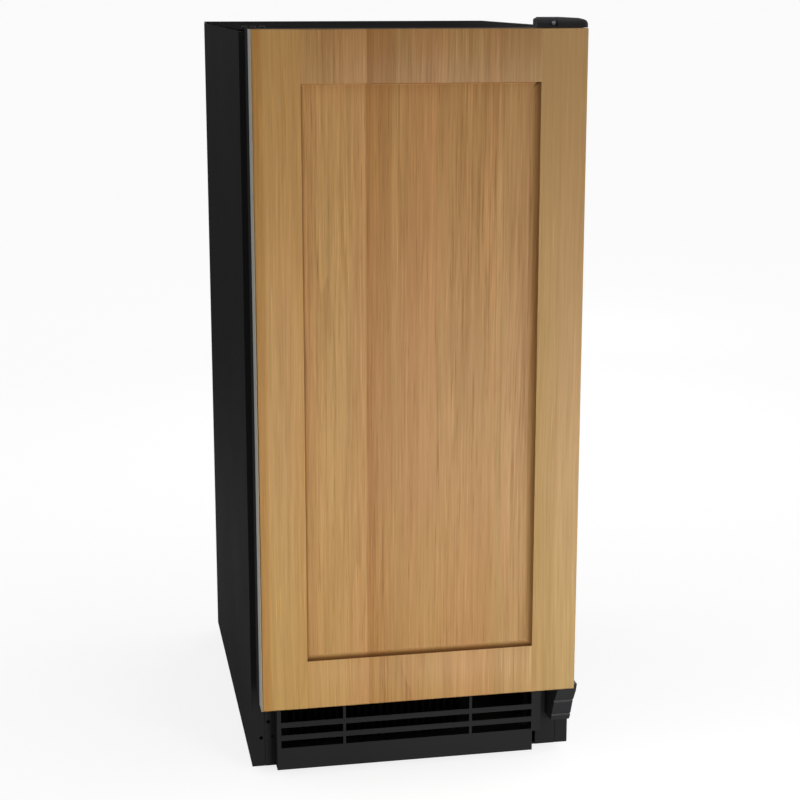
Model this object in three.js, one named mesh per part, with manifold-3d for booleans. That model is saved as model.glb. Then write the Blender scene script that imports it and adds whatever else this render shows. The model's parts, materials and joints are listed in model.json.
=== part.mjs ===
// Under-counter ice maker with a panel-ready door, millimetres, +Z up, front facing -Y.
// The cabinet group's own origin is the middle of the cabinet's front plane, at its lower edge.
import * as THREE from 'three';
import { mergeVertices } from 'three/addons/utils/BufferGeometryUtils.js';
import Module from 'manifold-3d';

const wasm = await Module();
wasm.setup();

// Cabinet
const CABINET_W = 379.4;
const CABINET_D = 480;
const CABINET_H = 845;
const FOOT_GAP = 10;
const SHEET = 1.5;
const TRAY_T = 1.8;
const GAP = 0.3;
const HALF_W = CABINET_W / 2;
const FLANGE_W = 15;
const SIDE_H = CABINET_H - SHEET - GAP;
const INNER_X = HALF_W - SHEET - GAP;

// Ice bin cavity, with a raised floor at the back over the machine compartment
const BIN_HALF_W = 148;
const BIN_BACK = 420;
const BIN_STEP = 210;
const BIN_FLOOR = 130;
const BIN_STEP_FLOOR = 260;
const BIN_TOP = 806;
const LINER = 2;
const LINER_LIP = 26.4;
const FOAM_BOTTOM = 100;
const BAY_FRONT = 238;
const BAY_TOP = 232;
const BACK_SEAM = 204.3;
const CHASE = { x0: 90, x1: 122, y0: 444, top: 790 };
const LINE_HOLE = { z0: 738, z1: 784 };
const DRAIN = { x: 110, y: 140, r: 12 };
const DRAIN_OUTLET = { x: 172, z: 40 };

// Cut-outs and louvres of the lower back cover
const VALVE_HOLE = { x0: -140, x1: -110, z0: 62, z1: 92 };
const INLET_HOLE = { x0: -62, x1: -8, z0: 56, z1: 90 };
const LOUVRES = { rows: 6, first: 108, pitch: 14, h: 6, x0: 10, x1: 150 };

// Spare holes for the hinge screws of a door that is hung on the other side
const SPARE_HOLES = { r: 2.2, side: [179, 35], post: [[-170.4, 54.6], [-165.3, 35.9]] };

// Plugs in the spare hinge holes of the top sheet
const PLUGS = { xs: [-179, -169.5, -159.5], y: 45, r: 3.2, h: 2.4 };

// Door, set off towards its free side to leave room for the hinge covers
const DOOR_W = 360;
const DOOR_OFFSET = -4;
const DOOR_BOTTOM = 98.5;
const DOOR_H = 748;
const DOOR_STANDOFF = 10;
const PAN_D = 42.7;
const OVERLAY_T = 19;
const DOOR_LEFT = DOOR_OFFSET - DOOR_W / 2;
const DOOR_RIGHT = DOOR_OFFSET + DOOR_W / 2;
const DOOR_TOP = DOOR_BOTTOM + DOOR_H;
const PAN_FRONT = -DOOR_STANDOFF - PAN_D;
const OVERLAY_BACK = PAN_FRONT - GAP;
const OVERLAY_FRONT = OVERLAY_BACK - OVERLAY_T;
const STILE_W = 51;
const RAIL_H = 56;
const RECESS = 9.5;
const JOINT_GAP = 0.05;
const TRIM = { t: 0.8, setBack: 2.5, overPan: 2 };

// How far a cutting tool reaches past the face that it opens
const PAST = 5;

// Hinges
const PIN = { x: 169, y: -28, r: 3.2 };
const BUSHING = { r: 5.4, bore: 3.6, length: 13 };
const BRACKET = { x0: 150, x1: 174, front: -44, back: 52, t: 2.9 };
const COVER_TOP = 856.8;
const COVER = { x0: 122, seam: 143, x1: 178, front: -62, armBack: -44, back: 26, roof: 852.6, wall: 1.6 };
const COVER_SEAM = 1.2;
const COVER_SCREW = { x: 139.7, z: 851.8, r: 2.2 };
const SHOE = { x0: 162, x1: 185, bottom: 40, top: 96.4, wall: 2.2 };

// Toe grille
const GRILLE_PROUD = 15;
const GRILLE_LEFT = -162;
const GRILLE_RIGHT = 152.5;
const GRILLE_TOE_RIGHT = 142.5;
const GRILLE_H = 84;
const GRILLE_WALL = 1.8;
const SLOT_H = 9.2;
const TOP_SLOT_H = 15.4;
const SLOT_PITCH = 15.75;
const SLOT_FIRST = 26.8;
const SLOT_ROWS = 3;
const SLOT_LEFT = -157.2;
const SLOT_WIDTHS = [72.5, 146.8, 72.2];
const SLOT_BAR = 3.4;

// Cooling fan, behind the condenser
const FAN = { x: -50, y: 98, z: 50, r: 36 };

// Ice module, hung in the top of the cavity and tilted forward
const MODULE = { y: 300, z: 736, tilt: THREE.MathUtils.degToRad(8) };
const PLATE = { halfW: 118, halfD: 95, t: 4 };

// Tray on the bin's left wall that the scoop stands in
const SCOOP_TRAY = {
  x: -BIN_HALF_W + GAP,
  front: 60,
  back: 156,
  bottom: 350,
  w: 38,
  t: 2,
  lip: 24,
  plate: 90,
};

// Levelling legs
const LEG_X = 155;
const LEG_YS = [60, 430];
const LEG_STEM_R = 5;

const BLACK_STEEL = { color: 0x262626, roughness: 0.5, metalness: 0.3 };
const BLACK_PLASTIC = { color: 0x1c1c1c, roughness: 0.55, metalness: 0 };
const BLACK_ENAMEL = { color: 0x1a1b1c, roughness: 0.4, metalness: 0.4 };
const WHITE_PLASTIC = { color: 0xe9ebea, roughness: 0.35, metalness: 0 };
const GREY_RUBBER = { color: 0x2b2b2c, roughness: 0.85, metalness: 0 };
const STEEL = { color: 0xb9bcbe, roughness: 0.35, metalness: 0.9 };
const ALUMINIUM = { color: 0x9a9791, roughness: 0.4, metalness: 0.8 };
const COPPER = { color: 0xb46a3c, roughness: 0.35, metalness: 0.9 };
const OAK = { color: 0xb08a58, roughness: 0.55, metalness: 0 };
const OAK_PANEL = { color: 0xa9824f, roughness: 0.55, metalness: 0 };
const FOAM = { color: 0xe2d6a0, roughness: 0.95, metalness: 0 };
const MOTOR_GREY = { color: 0x55585b, roughness: 0.5, metalness: 0.5 };
const CLEAR_PLASTIC = { color: 0xcfdadf, roughness: 0.15, metalness: 0 };

// ---------- shape helpers ----------

// A box between two corners
function block(x0, x1, y0, y1, z0, z1) {
  const geometry = new THREE.BoxGeometry(x1 - x0, y1 - y0, z1 - z0);
  return geometry.translate((x0 + x1) / 2, (y0 + y1) / 2, (z0 + z1) / 2);
}

// A round bar along x, y or z, centred on a point
function bar(axis, radius, length, x, y, z, segments = 24) {
  const geometry = new THREE.CylinderGeometry(radius, radius, length, segments);
  if (axis === 'x') geometry.rotateZ(Math.PI / 2);
  if (axis === 'z') geometry.rotateX(Math.PI / 2);
  return geometry.translate(x, y, z);
}

// A solid of revolution about z from [radius, height] pairs
function turned(profile, segments = 32) {
  const points = profile.map(([r, z]) => new THREE.Vector2(r, z));
  return new THREE.LatheGeometry(points, segments).rotateX(Math.PI / 2);
}

function outline(points) {
  return new THREE.Shape(points.map(([a, b]) => new THREE.Vector2(a, b)));
}

// An outline in x and y, raised from z0 to z1
function raised(points, z0, z1) {
  const geometry = new THREE.ExtrudeGeometry(outline(points), { depth: z1 - z0, bevelEnabled: false });
  return geometry.translate(0, 0, z0);
}

// An outline in x and z, run from y0 to y1
function runAlongY(points, y0, y1) {
  const geometry = new THREE.ExtrudeGeometry(outline(points), { depth: y1 - y0, bevelEnabled: false });
  return geometry.rotateX(Math.PI / 2).translate(0, y1, 0);
}

// An outline in y and z, run from x0 to x1
function runAlongX(points, x0, x1) {
  const shape = outline(points);
  const geometry = new THREE.ExtrudeGeometry(shape, { depth: x1 - x0, bevelEnabled: false });
  geometry.rotateY(Math.PI / 2).rotateX(Math.PI / 2);
  return geometry.translate(x0, 0, 0);
}

// A round tube or wire of one radius along a smooth path
function tube(points, radius, steps, sides = 8) {
  const section = new THREE.Shape();
  for (let i = 0; i < sides; i++) {
    const angle = (i / sides) * Math.PI * 2;
    const x = radius * Math.cos(angle);
    const y = radius * Math.sin(angle);
    if (i === 0) section.moveTo(x, y);
    else section.lineTo(x, y);
  }
  section.closePath();
  const stations = points.map((p) => new THREE.Vector3(...p));
  const path = new THREE.CatmullRomCurve3(stations, false, 'centripetal');
  return new THREE.ExtrudeGeometry(section, { steps, bevelEnabled: false, extrudePath: path });
}

function toManifold(geometry) {
  const bare = geometry.clone();
  bare.deleteAttribute('normal');
  bare.deleteAttribute('uv');
  const merged = mergeVertices(bare, 1e-4);
  const vertProperties = new Float32Array(merged.attributes.position.array);
  const triVerts = new Uint32Array(merged.index.array);
  return new wasm.Manifold(new wasm.Mesh({ numProp: 3, vertProperties, triVerts }));
}

function toGeometry(solid) {
  const mesh = solid.getMesh();
  const geometry = new THREE.BufferGeometry();
  geometry.setAttribute('position', new THREE.BufferAttribute(mesh.vertProperties, 3));
  geometry.setIndex(new THREE.BufferAttribute(mesh.triVerts, 1));
  const faceted = geometry.toNonIndexed();
  faceted.computeVertexNormals();
  return faceted;
}

function join(...geometries) {
  const solids = geometries.map(toManifold);
  return toGeometry(solids.reduce((all, next) => all.add(next)));
}

function cut(geometry, ...tools) {
  const whole = toManifold(geometry);
  return toGeometry(tools.map(toManifold).reduce((left, tool) => left.subtract(tool), whole));
}

// A named sub-part at a place in its group
function piece(group, name, geometry, finish, x = 0, y = 0, z = 0) {
  const mesh = new THREE.Mesh(geometry, new THREE.MeshStandardMaterial(finish));
  mesh.name = name;
  mesh.position.set(x, y, z);
  group.add(mesh);
  return mesh;
}

// ---------- cabinet shell ----------

// A folded side sheet whose front edge turns in to make the flange beside the door opening
function sidePanel(side) {
  const points = [
    [HALF_W, 0],
    [HALF_W, CABINET_D],
    [HALF_W - SHEET, CABINET_D],
    [HALF_W - SHEET, SHEET],
    [HALF_W - FLANGE_W, SHEET],
    [HALF_W - FLANGE_W, 0],
  ];
  const sheet = raised(points.map(([x, y]) => [side * x, y]), 0, SIDE_H);
  const [x, z] = SPARE_HOLES.side;
  return cut(sheet, bar('y', SPARE_HOLES.r, 8, side * x, 0, z, 12));
}

function topPanel() {
  const lid = block(-HALF_W, HALF_W, 0, CABINET_D, CABINET_H - SHEET, CABINET_H);
  const lipX = HALF_W - FLANGE_W - GAP;
  const frontLip = block(-lipX, lipX, 0, SHEET, CABINET_H - FLANGE_W, CABINET_H - SHEET / 2);
  return join(lid, frontLip);
}

// Lower back cover with louvre slots and cut-outs for the water valve, the inlet and the drain
function rearServiceCover() {
  const sheet = block(-INNER_X, INNER_X, CABINET_D - SHEET, CABINET_D, 8, BACK_SEAM - GAP);
  const hole = (x0, x1, z0, z1) => block(x0, x1, CABINET_D - PAST, CABINET_D + PAST, z0, z1);
  const tools = [VALVE_HOLE, INLET_HOLE].map(({ x0, x1, z0, z1 }) => hole(x0, x1, z0, z1));
  tools.push(bar('y', 10, 2 * PAST, DRAIN_OUTLET.x, CABINET_D, DRAIN_OUTLET.z, 16));
  const { rows, first, pitch, h, x0, x1 } = LOUVRES;
  for (let row = 0; row < rows; row++) {
    const z = first + row * pitch;
    tools.push(hole(-x1, -x0, z, z + h), hole(x0, x1, z, z + h));
  }
  return cut(sheet, ...tools);
}

// Floor tray with four leg bosses and two front posts that close the gap beside the grille
function basePan() {
  const postX = HALF_W - FLANGE_W - GAP;
  const postTop = FOAM_BOTTOM - 2;
  const solids = [
    block(-INNER_X, INNER_X, 2, CABINET_D - SHEET - GAP, 0, TRAY_T),
    block(-postX, SLOT_LEFT - GRILLE_WALL, 0, SHEET, 0, postTop),
    block(GRILLE_RIGHT - 2.5, postX, 0, SHEET, 0, postTop),
    block(-postX, postX, 0.5, 4, 0, TRAY_T),
  ];
  const holes = SPARE_HOLES.post.map(([x, z]) => bar('y', SPARE_HOLES.r, 8, x, 0, z, 12));
  for (const x of [-LEG_X, LEG_X]) {
    for (const y of LEG_YS) {
      solids.push(bar('z', 11, 14, x, y, 8, 16));
      holes.push(bar('z', LEG_STEM_R + 0.6, 40, x, y, 8, 24));
    }
  }
  return cut(join(...solids), ...holes);
}

// Moulded foam block round the bin, stepped up at the back over the machine bay
function foamInsulation() {
  const outerBack = CABINET_D - SHEET - GAP;
  const cavityX = BIN_HALF_W + LINER + GAP;
  const cavityTop = BIN_TOP + LINER + GAP;
  const body = block(-INNER_X, INNER_X, 2, outerBack, FOAM_BOTTOM, SIDE_H - GAP);
  return cut(
    body,
    block(-HALF_W, HALF_W, BAY_FRONT, CABINET_D, 0, BAY_TOP),
    block(-cavityX, cavityX, -PAST, BIN_STEP + LINER + GAP, BIN_FLOOR - LINER - GAP, cavityTop),
    block(-cavityX, cavityX, -PAST, BIN_BACK + LINER + GAP, BIN_STEP_FLOOR - LINER - GAP, cavityTop),
    block(CHASE.x0, CHASE.x1, CHASE.y0, CABINET_D, BAY_TOP - PAST, CHASE.top),
    block(CHASE.x0, CHASE.x1, BIN_BACK, CHASE.y0 + PAST, LINE_HOLE.z0, LINE_HOLE.z1),
    bar('z', DRAIN.r + GAP, 60, DRAIN.x, DRAIN.y, BIN_FLOOR - 20),
  );
}

// Thermoformed white liner with a front lip, open to the front
function binLiner() {
  const outerX = BIN_HALF_W + LINER;
  const lipX = BIN_HALF_W + LINER_LIP;
  const lipT = 1.7;
  const lipTop = BIN_TOP + 23.7;
  const shell = join(
    block(-outerX, outerX, 1, BIN_STEP + LINER, BIN_FLOOR - LINER, BIN_TOP + LINER),
    block(-outerX, outerX, 1, BIN_BACK + LINER, BIN_STEP_FLOOR - LINER, BIN_TOP + LINER),
    block(-lipX, lipX, 0, lipT, FOAM_BOTTOM - lipT, lipTop),
  );
  return cut(
    shell,
    block(-BIN_HALF_W, BIN_HALF_W, -PAST, BIN_STEP, BIN_FLOOR, BIN_TOP),
    block(-BIN_HALF_W, BIN_HALF_W, -PAST, BIN_BACK, BIN_STEP_FLOOR, BIN_TOP),
    block(CHASE.x0, CHASE.x1, BIN_BACK - PAST, BIN_BACK + PAST, LINE_HOLE.z0, LINE_HOLE.z1),
    bar('z', DRAIN.r - 3 + GAP, 20, DRAIN.x, DRAIN.y, BIN_FLOOR),
  );
}

function buildShell(cabinet) {
  piece(cabinet, 'left_side_panel', sidePanel(-1), BLACK_STEEL);
  piece(cabinet, 'right_side_panel', sidePanel(1), BLACK_STEEL);
  piece(cabinet, 'top_panel', topPanel(), BLACK_STEEL);
  const backSheet = block(-INNER_X, INNER_X, CABINET_D - SHEET, CABINET_D, BACK_SEAM, SIDE_H);
  piece(cabinet, 'back_panel', backSheet, BLACK_STEEL);
  piece(cabinet, 'rear_service_cover', rearServiceCover(), BLACK_STEEL);
  piece(cabinet, 'base_pan', basePan(), BLACK_STEEL);
  piece(cabinet, 'foam_insulation', foamInsulation(), FOAM);
  piece(cabinet, 'bin_liner', binLiner(), WHITE_PLASTIC);
  buildPlugs(cabinet);
}

// Plugs in the hinge holes that are left over on the free side of the top
function buildPlugs(cabinet) {
  const { xs, y, r, h } = PLUGS;
  const z = CABINET_H + GAP + h / 2;
  xs.forEach((x, i) => {
    piece(cabinet, `hinge_hole_plug_${i + 1}`, bar('z', r, h, 0, 0, 0, 16), BLACK_PLASTIC, x, y, z);
  });
}

// ---------- toe grille and legs ----------

function grilleOutline(inset) {
  const toeStep = 24;
  return [
    [GRILLE_LEFT + inset, inset],
    [GRILLE_TOE_RIGHT - inset, inset],
    [GRILLE_TOE_RIGHT - inset, toeStep + inset],
    [GRILLE_RIGHT - inset, toeStep + inset],
    [GRILLE_RIGHT - inset, GRILLE_H - inset],
    [GRILLE_LEFT + inset, GRILLE_H - inset],
  ];
}

// Shallow tray, open behind, with three rows of air slots in three columns, the top row the tallest
function toeGrille() {
  const tray = runAlongY(grilleOutline(0), -GRILLE_PROUD, -GAP);
  const tools = [runAlongY(grilleOutline(GRILLE_WALL), GRILLE_WALL - GRILLE_PROUD, PAST)];
  for (let row = 0; row < SLOT_ROWS; row++) {
    const z = SLOT_FIRST + row * SLOT_PITCH;
    const h = row === SLOT_ROWS - 1 ? TOP_SLOT_H : SLOT_H;
    let x = SLOT_LEFT;
    for (const width of SLOT_WIDTHS) {
      tools.push(block(x, x + width, -GRILLE_PROUD - PAST, -GRILLE_PROUD + PAST, z, z + h));
      x += width + SLOT_BAR;
    }
  }
  return cut(tray, ...tools);
}

// Threaded stem on a round foot, from the floor up into its boss
function levelingLeg() {
  const profile = [
    [0, 0],
    [16, 0],
    [17, 1.5],
    [17, 5],
    [8, 7],
    [8, 8.6],
    [LEG_STEM_R, 8.6],
    [LEG_STEM_R, 58],
    [0, 58],
  ];
  return turned(profile, 24);
}

function buildBase(cabinet) {
  piece(cabinet, 'toe_grille', toeGrille(), BLACK_PLASTIC);
  const corners = { front_left: [-1, 0], front_right: [1, 0], rear_left: [-1, 1], rear_right: [1, 1] };
  for (const [corner, [side, end]] of Object.entries(corners)) {
    piece(cabinet, `leveling_leg_${corner}`, levelingLeg(), STEEL, side * LEG_X, LEG_YS[end], -FOOT_GAP);
  }
}

// ---------- machine compartment ----------

// Hermetic shell on a foot plate with four grommets and two pipe stubs
function compressor() {
  const shell = [
    [0, 13],
    [58, 13],
    [63, 20],
    [64, 74],
    [66, 75],
    [66, 81],
    [64, 82],
    [60, 112],
    [48, 136],
    [28, 148],
    [0, 152],
  ];
  const solids = [
    turned(shell, 32).scale(1, 0.92, 1),
    block(-72, 72, -50, 50, 12, 15),
    block(-30, 10, -72, -50, 40, 80),
    bar('x', 4.75, 28, 70, 0, 92, 12),
    bar('z', 4.75, 32, 80, 0, 104, 12),
    bar('x', 4, 24, -68, -10, 92, 12),
    bar('z', 4, 20, -78, -10, 99, 12),
  ];
  for (const x of [-60, 60]) {
    for (const y of [-42, 42]) solids.push(bar('z', 8, 11, x, y, 7.5, 16));
  }
  return join(...solids);
}

// Finned block with a header for the tube rows at one side
function condenserCoil() {
  const fins = 24;
  const left = -138;
  const right = 62;
  const pitch = (right - left) / (fins - 1);
  const solids = [block(left, right, 44, 68, 12, 88)];
  for (let i = 0; i < fins; i++) {
    const x = left + i * pitch;
    solids.push(block(x - 0.6, x + 0.6, 34, 78, 10, 90));
  }
  for (const z of [26, 42, 58, 74]) solids.push(bar('x', 3.5, 12, right + 4, 56, z, 10));
  solids.push(block(right + 6, right + 10, 53, 59, 24, 76));
  return join(...solids);
}

// Sheet with a round duct that the fan turns in
function fanShroud() {
  const plate = block(-138, 65, 84, 85.5, 4, 96);
  const duct = bar('y', FAN.r + 4, 22, FAN.x, 95.5, FAN.z, 36);
  const bore = bar('y', FAN.r + 2.4, 40, FAN.x, 95, FAN.z, 36);
  return cut(join(plate, duct), bore);
}

function fanBlade() {
  const blades = 5;
  const solids = [bar('y', 9, 14, 0, 0, 0, 20)];
  for (let i = 0; i < blades; i++) {
    const blade = new THREE.BoxGeometry(16, 1.4, FAN.r - 6);
    blade.rotateZ(THREE.MathUtils.degToRad(28)).translate(0, 0, (FAN.r + 5) / 2);
    blade.rotateY((i / blades) * Math.PI * 2);
    solids.push(blade);
  }
  return cut(join(...solids), bar('y', 2.9, 8, 0, 5, 0, 12));
}

// Motor can with three flat arms that reach a ring behind the duct
function fanMotor() {
  const arms = 3;
  const solids = [bar('y', 17, 30, 0, 24, 0, 24), bar('y', 2.4, 12, 0, 9, 0, 12)];
  for (let i = 0; i < arms; i++) {
    const arm = block(-4, 4, 12, 15, 10, FAN.r + 3);
    arm.rotateY((i / arms) * Math.PI * 2);
    solids.push(arm);
  }
  return join(...solids);
}

function waterInletValve() {
  return join(
    block(-146, -104, 436, 470, 58, 98),
    bar('y', 11, 12, -125, 473.5, 77, 20),
    bar('z', 10, 30, -125, 447, 112, 16),
    bar('z', 3.2, 14, -125, 462, 103, 10),
  );
}

// Flanged inlet socket with a recess in its back face
function powerInlet() {
  const body = join(
    block(-60, -10, 452, CABINET_D - 1, 58, 88),
    block(-66, -4, 474, CABINET_D - SHEET - GAP, 52, 94),
  );
  const recess = block(-50, -20, 462, CABINET_D + PAST, 64, 82);
  const pins = [-42, -35, -28].map((x) => block(x - 1, x + 1, 461, 474, 70, 76));
  return join(cut(body, recess), ...pins);
}

// Flanged drain cup in the bin floor, with its spigot under the foam
function drainFitting() {
  const rim = BIN_FLOOR + GAP;
  const wall = DRAIN.r - 3;
  const profile = [
    [6, 84],
    [wall, 84],
    [wall, rim],
    [DRAIN.r + 5, rim],
    [DRAIN.r + 5, rim + 1.5],
    [6, rim + 1.5],
    [6, 84],
  ];
  return turned(profile, 24);
}

function buildMachineBay(cabinet) {
  piece(cabinet, 'compressor', compressor(), BLACK_ENAMEL, 55, 350, 0);
  piece(cabinet, 'condenser_coil', condenserCoil(), BLACK_ENAMEL);
  piece(cabinet, 'fan_shroud', fanShroud(), STEEL);
  piece(cabinet, 'condenser_fan', fanBlade(), BLACK_PLASTIC, FAN.x, FAN.y, FAN.z);
  piece(cabinet, 'fan_motor', fanMotor(), MOTOR_GREY, FAN.x, FAN.y, FAN.z);
  piece(cabinet, 'water_inlet_valve', waterInletValve(), WHITE_PLASTIC);
  piece(cabinet, 'power_inlet', powerInlet(), BLACK_PLASTIC);
  piece(cabinet, 'drain_fitting', drainFitting(), WHITE_PLASTIC, DRAIN.x, DRAIN.y, 0);
  const drainRoute = [
    [DRAIN.x, DRAIN.y, 83.6],
    [DRAIN.x, DRAIN.y, 72],
    [DRAIN.x + 12, DRAIN.y + 18, 58],
    [DRAIN_OUTLET.x, 230, 50],
    [DRAIN_OUTLET.x, 330, 46],
    [DRAIN_OUTLET.x, 420, DRAIN_OUTLET.z],
    [DRAIN_OUTLET.x, CABINET_D - 0.5, DRAIN_OUTLET.z],
  ];
  piece(cabinet, 'drain_tube', tube(drainRoute, 8, 26), GREY_RUBBER);
  const dischargeRoute = [
    [-23, 340, 109.4],
    [-23, 340, 116],
    [-22, 318, 118],
    [-12, 270, 92],
    [40, 190, 84],
    [86, 130, 82],
    [94, 74, 78],
    [86, 56, 74],
    [72.4, 56, 74],
  ];
  piece(cabinet, 'discharge_line', tube(dischargeRoute, 3.5, 34), COPPER);
}

// ---------- ice module ----------

// Turns a point of the tilted module into cabinet coordinates
function fromModule(x, y, z) {
  const point = new THREE.Vector3(x, y, z).applyAxisAngle(new THREE.Vector3(1, 0, 0), MODULE.tilt);
  return [point.x, point.y + MODULE.y, point.z + MODULE.z];
}

const CURTAIN_PIVOT = { y: -106, z: 20 };

// Freezing plate with cheeks that carry the curtain's rod
function evaporatorPlate() {
  const { halfW, halfD, t } = PLATE;
  const solids = [block(-halfW - 1, halfW + 1, -halfD, halfD, 0, t)];
  for (const side of [-1, 1]) {
    const x0 = side > 0 ? halfW : -halfW - 2.5;
    solids.push(block(x0, x0 + 2.5, -halfD - 20, halfD, -8, 28));
  }
  const rodHoles = bar('x', 3, 3 * halfW, 0, CURTAIN_PIVOT.y, CURTAIN_PIVOT.z, 16);
  return cut(join(...solids), rodHoles);
}

// Serpentine tube under the plate, ending towards the back
function evaporatorCoil() {
  const passes = 5;
  const pitch = 34;
  const reach = 84;
  const route = [];
  for (let pass = 0; pass < passes; pass++) {
    const y = (pass - (passes - 1) / 2) * pitch;
    const heading = pass % 2 === 0 ? 1 : -1;
    route.push([-heading * reach, y, 0], [heading * reach, y, 0]);
    if (pass < passes - 1) route.push([heading * (reach + pitch / 2), y + pitch / 2, 0]);
  }
  const lastY = ((passes - 1) / 2) * pitch;
  route.push([104, lastY + 7, 0], [112, lastY + 18, 0], [112, 100, 0]);
  return tube(route, 4, 72);
}

// Spray bar along the top of the plate, with a row of nozzles under it
function waterDistributor() {
  const nozzles = 11;
  const solids = [bar('x', 6, 210, 0, 0, 0, 16), bar('y', 3.2, 16, 100, 8, 0, 10)];
  for (let i = 0; i < nozzles; i++) {
    solids.push(bar('z', 2, 8, -95 + i * 19, 0, -7, 8));
  }
  return join(...solids);
}

// Frame strung with crossed heating wires, which part the slab into cubes
function cutterGrid() {
  const [halfW, halfD, rim, wire] = [126, 52, 6, 0.9];
  const solids = [
    block(-halfW, halfW, -halfD, -halfD + rim, -5, 5),
    block(-halfW, halfW, halfD - rim, halfD, -5, 5),
    block(-halfW, -halfW + rim, -halfD, halfD, -5, 5),
    block(halfW - rim, halfW, -halfD, halfD, -5, 5),
  ];
  for (let x = -100; x <= 100; x += 25) solids.push(block(x - wire, x + wire, -halfD, halfD, 0.6, 2.4));
  for (let y = -25; y <= 25; y += 25) solids.push(block(-halfW, halfW, y - wire, y + wire, -1.1, 0.7));
  return join(...solids);
}

// Open trough that catches the water under the plate
function waterReservoir() {
  const outer = block(-128, 128, 242, 404, 606, 662);
  return cut(outer, block(-126, 126, 244, 402, 608, 670));
}

const PUMP = { x: 92, y: 268 };

// Motor over the trough, on a foot that stands on its floor, bored for the impeller's shaft
function pumpMotor() {
  const can = bar('z', 19, 44, 0, 0, 680, 24);
  const legs = [-15, 15].map((x) => block(x - 2, x + 2, -5, 5, 608 + GAP, 664));
  return cut(join(can, ...legs), bar('z', 2.5, 24, 0, 0, 662, 16));
}

function pumpImpeller() {
  const vanes = 6;
  const solids = [bar('z', 2, 54, 0, 0, 27, 12), bar('z', 10.5, 2, 0, 0, 1, 20)];
  for (let i = 0; i < vanes; i++) {
    const vane = block(1, 10, -0.6, 0.6, 1, 9);
    vane.rotateZ((i / vanes) * Math.PI * 2);
    solids.push(vane);
  }
  return join(...solids);
}

// Clear flap that hangs from a rod in front of the plate, about the rod's own axis
function splashCurtain() {
  return join(bar('x', 2.4, 240, 0, 0, 0, 12), block(-114, 114, -0.8, 0.8, -62, 0));
}

function buildIceModule(cabinet) {
  const module = new THREE.Group();
  module.position.set(0, MODULE.y, MODULE.z);
  module.rotation.x = MODULE.tilt;
  cabinet.add(module);
  piece(module, 'evaporator_plate', evaporatorPlate(), STEEL);
  piece(module, 'evaporator_coil', evaporatorCoil(), COPPER, 0, 0, -4.4);
  piece(module, 'water_distributor', waterDistributor(), WHITE_PLASTIC, 0, 84, 22);

  const grid = piece(cabinet, 'cutter_grid', cutterGrid(), WHITE_PLASTIC, 0, 128, 640);
  grid.rotation.x = MODULE.tilt;
  piece(cabinet, 'water_reservoir', waterReservoir(), WHITE_PLASTIC);
  piece(cabinet, 'pump_motor', pumpMotor(), MOTOR_GREY, PUMP.x, PUMP.y, 0);
  piece(cabinet, 'pump_impeller', pumpImpeller(), WHITE_PLASTIC, PUMP.x, PUMP.y, 612);
  const pivot = fromModule(0, CURTAIN_PIVOT.y, CURTAIN_PIVOT.z);
  piece(cabinet, 'splash_curtain', splashCurtain(), CLEAR_PLASTIC, ...pivot);
  buildLines(cabinet);
}

// Suction and supply lines, from the module back through the foam and down the chase
function buildLines(cabinet) {
  const coilEnd = fromModule(112, 100.4, -4.4);
  const suctionRoute = [
    coilEnd,
    fromModule(112, 107, -4.4),
    [112, 424, 744.4],
    [112, 452, 742],
    [112, 464, 722],
    [112, 464, 480],
    [112, 464, 250],
    [116, 450, 196],
    [128, 400, 166],
    [135, 352, 140],
    [135, 350, 120.5],
  ];
  piece(cabinet, 'suction_line', tube(suctionRoute, 4.75, 46), COPPER);
  const stub = fromModule(100, 100.4, 22);
  const supplyRoute = [
    stub,
    fromModule(100, 107, 22),
    [100, 424, 771],
    [100, 452, 768],
    [100, 464, 748],
    [100, 464, 480],
    [100, 464, 250],
    [90, 464, 222],
    [40, 464, 216],
    [-90, 464, 214],
    [-120, 463, 200],
    [-125, 462, 160],
    [-125, 462, 110.4],
  ];
  piece(cabinet, 'water_supply_tube', tube(supplyRoute, 3.2, 56), WHITE_PLASTIC);
}

// ---------- controls, light, sensor and scoop ----------

const CONTROL = { y0: 30, y1: 110, z0: 768, buttonZ: 786 };
const BUTTON_XS = { button_power: -24, button_clean: 24 };

function controlHousing() {
  const body = block(-BIN_HALF_W + 1, BIN_HALF_W - 1, CONTROL.y0, CONTROL.y1, CONTROL.z0, BIN_TOP - GAP);
  const wells = Object.values(BUTTON_XS).map((x) => bar('y', 7.8, 18, x, CONTROL.y0, CONTROL.buttonZ));
  return cut(body, ...wells);
}

function pushButton() {
  const profile = [
    [0, 0],
    [7.2, 0],
    [7.2, 6.4],
    [6.4, 7.2],
    [0, 7.6],
  ];
  return turned(profile, 24).rotateX(Math.PI / 2);
}

// Open tray with a tall back, fixed to the bin's side wall, for the scoop to stand in
function scoopHolder() {
  const { x, front, back, bottom, w, t, lip, plate } = SCOOP_TRAY;
  return join(
    block(x, x + t, front, back, bottom, bottom + plate),
    block(x, x + w, front, back, bottom, bottom + t),
    block(x + w - t, x + w, front, back, bottom, bottom + lip),
    block(x, x + w, front, front + t, bottom, bottom + lip),
    block(x, x + w, back - t, back, bottom, bottom + lip),
  );
}

// Deep scoop with a D-shaped section, standing on its lip with the handle up
function iceScoop() {
  const section = (inset) => {
    const shape = new THREE.Shape();
    shape.moveTo(0 + inset, -38 + inset);
    shape.lineTo(0 + inset, 38 - inset);
    shape.bezierCurveTo(36 - inset, 34 - inset, 36 - inset, -34 + inset, 0 + inset, -38 + inset);
    return new THREE.ExtrudeGeometry(shape, { depth: 110, bevelEnabled: false, curveSegments: 12 });
  };
  const bowl = cut(section(0), section(1.6).translate(0, 0, -4), block(4, 60, -60, 60, -60, 12));
  const neck = block(6, 14, -7, 7, 105, 122);
  const grip = bar('z', 9, 84, 10, 0, 160, 16);
  return join(bowl, neck, grip);
}

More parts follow.
